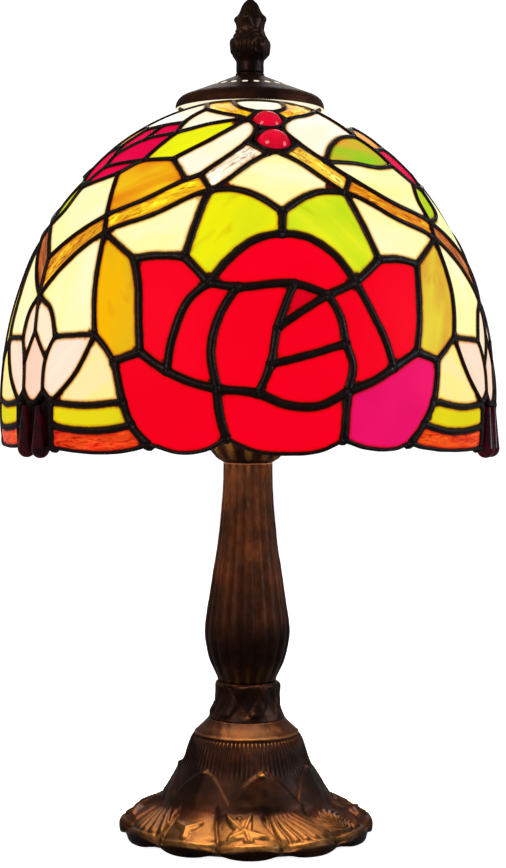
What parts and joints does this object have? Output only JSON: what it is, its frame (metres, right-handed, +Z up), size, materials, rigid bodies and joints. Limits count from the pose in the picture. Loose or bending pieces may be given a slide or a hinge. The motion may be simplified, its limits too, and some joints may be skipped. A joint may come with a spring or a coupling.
{
  "type": "stained glass table lamp",
  "caption": "Small table lamp with a leaded stained glass dome shade of roses, tulips and ribbon on a fluted bronze pedestal.",
  "frame": {"origin": "centre of the underside of the felt pad, on the table", "axes": "+Z up along the stem and pipe; -Y is the side that a big rose faces; the cord enters at +Y"},
  "size_m": [0.2024, 0.2042, 0.3415],
  "materials": {
    "glass_red": "stained art glass, streaky and lit from inside",
    "glass_magenta": "stained art glass, streaky and lit from inside",
    "glass_green": "stained art glass, streaky and lit from inside",
    "glass_gold": "stained art glass, streaky and lit from inside",
    "glass_olive": "stained art glass, streaky and lit from inside",
    "glass_leaf": "stained art glass, streaky and lit from inside",
    "glass_crimson": "stained art glass, streaky and lit from inside",
    "glass_cream": "stained art glass, streaky and lit from inside",
    "glass_amber": "stained art glass, streaky and lit from inside",
    "glass_pink": "stained art glass, streaky and lit from inside",
    "glass_lime": "stained art glass, streaky and lit from inside",
    "glass_rust": "stained art glass, streaky and lit from inside",
    "stone_red": "moulded glass stone, polished",
    "stone_dark": "moulded glass stone, polished",
    "felt": "black wool felt",
    "steel": "zinc plated, dull",
    "brass_plain": "bright dipped brass, lightly tarnished",
    "bronze": "antique bronze patina with rubbed golden highlights",
    "bronze_cap": "antique bronze patina, brushed",
    "black_plastic": "moulded, matt",
    "nickel": "nickel plated",
    "paper": "varnished fibre sleeve",
    "porcelain": "glazed porcelain",
    "tin": "tinned solder blob",
    "black_glass": "black vitrite",
    "bulb_opal": "opal glass, lit",
    "clear_glass": "clear pressed glass",
    "tungsten": "drawn wire",
    "solder": "black patina over tin solder, faint blue sheen"
  },
  "bodies": {
    "base": {"rest_pad": "felt", "base_plate": "steel", "plate_nut": "brass_plain", "foot_casting": "bronze", "cord_grommet": "black_plastic", "pipe_washer": "steel", "neck_collar": "bronze", "stem_casting": "bronze", "drip_cup": "bronze", "cup_plate": "brass_plain", "lamp_pipe": "brass_plain", "harp_saddle": "nickel", "harp": "nickel", "socket_cap": "brass_plain", "socket_shell": "brass_plain", "socket_liner": "paper", "socket_core": "porcelain", "screw_shell": "brass_plain", "spring_contact": "brass_plain"},
    "bulb_seat": {"bulb_contact": "tin"},
    "bulb": {"bulb_insulator": "black_glass", "bulb_cap": "nickel", "bulb_glass": "bulb_opal", "bulb_mount": "clear_glass", "bulb_filament": "tungsten"},
    "cap": {"vase_cap": "bronze_cap"},
    "shade": {"rose_glass": "glass_red", "magenta_glass": "glass_magenta", "bud_glass": "glass_red", "sepal_glass": "glass_green", "gold_leaf_glass": "glass_gold", "olive_leaf_glass": "glass_olive", "small_leaf_glass": "glass_leaf", "small_rose_glass": "glass_crimson", "lower_cream_glass": "glass_cream", "upper_cream_glass": "glass_cream", "rope_glass": "glass_amber", "tulip_glass": "glass_pink", "band_glass": "glass_lime", "rim_glass": "glass_rust", "round_cabochons": "stone_red", "drop_cabochons": "stone_dark", "solder_lattice": "solder", "top_ring": "brass_plain"},
    "finial_seat": {"finial_washer": "brass_plain"},
    "finial": {"finial": "bronze"}
  },
  "joints": [
    {"name": "shade_lift", "type": "slide", "parent": "base", "child": "cap", "axis": [0, 0, 1], "range_m": [0, 0.165]},
    {"name": "shade_turn", "type": "hinge", "parent": "cap", "child": "shade", "pos_m": [0, 0, 0.2], "axis": [0, 0, 1], "continuous": true},
    {"name": "finial_rise", "type": "slide", "parent": "cap", "child": "finial_seat", "axis": [0, 0, 1], "range_m": [0, 0.0088]},
    {"name": "finial_turn", "type": "hinge", "parent": "finial_seat", "child": "finial", "pos_m": [0, 0, 0.32], "axis": [0, 0, 1], "range_deg": [0, 2880]},
    {"name": "bulb_rise", "type": "slide", "parent": "base", "child": "bulb_seat", "axis": [0, 0, 1], "range_m": [0, 0.0162]},
    {"name": "bulb_turn", "type": "hinge", "parent": "bulb_seat", "child": "bulb", "pos_m": [0, 0, 0.22], "axis": [0, 0, 1], "range_deg": [0, 1890]}
  ],
  "couplings": [
    {"joint": "finial_rise", "follows": "finial_turn", "m_per_rad": 0.00014961},
    {"joint": "bulb_rise", "follows": "bulb_turn", "m_per_rad": 0.00044882}
  ]
}
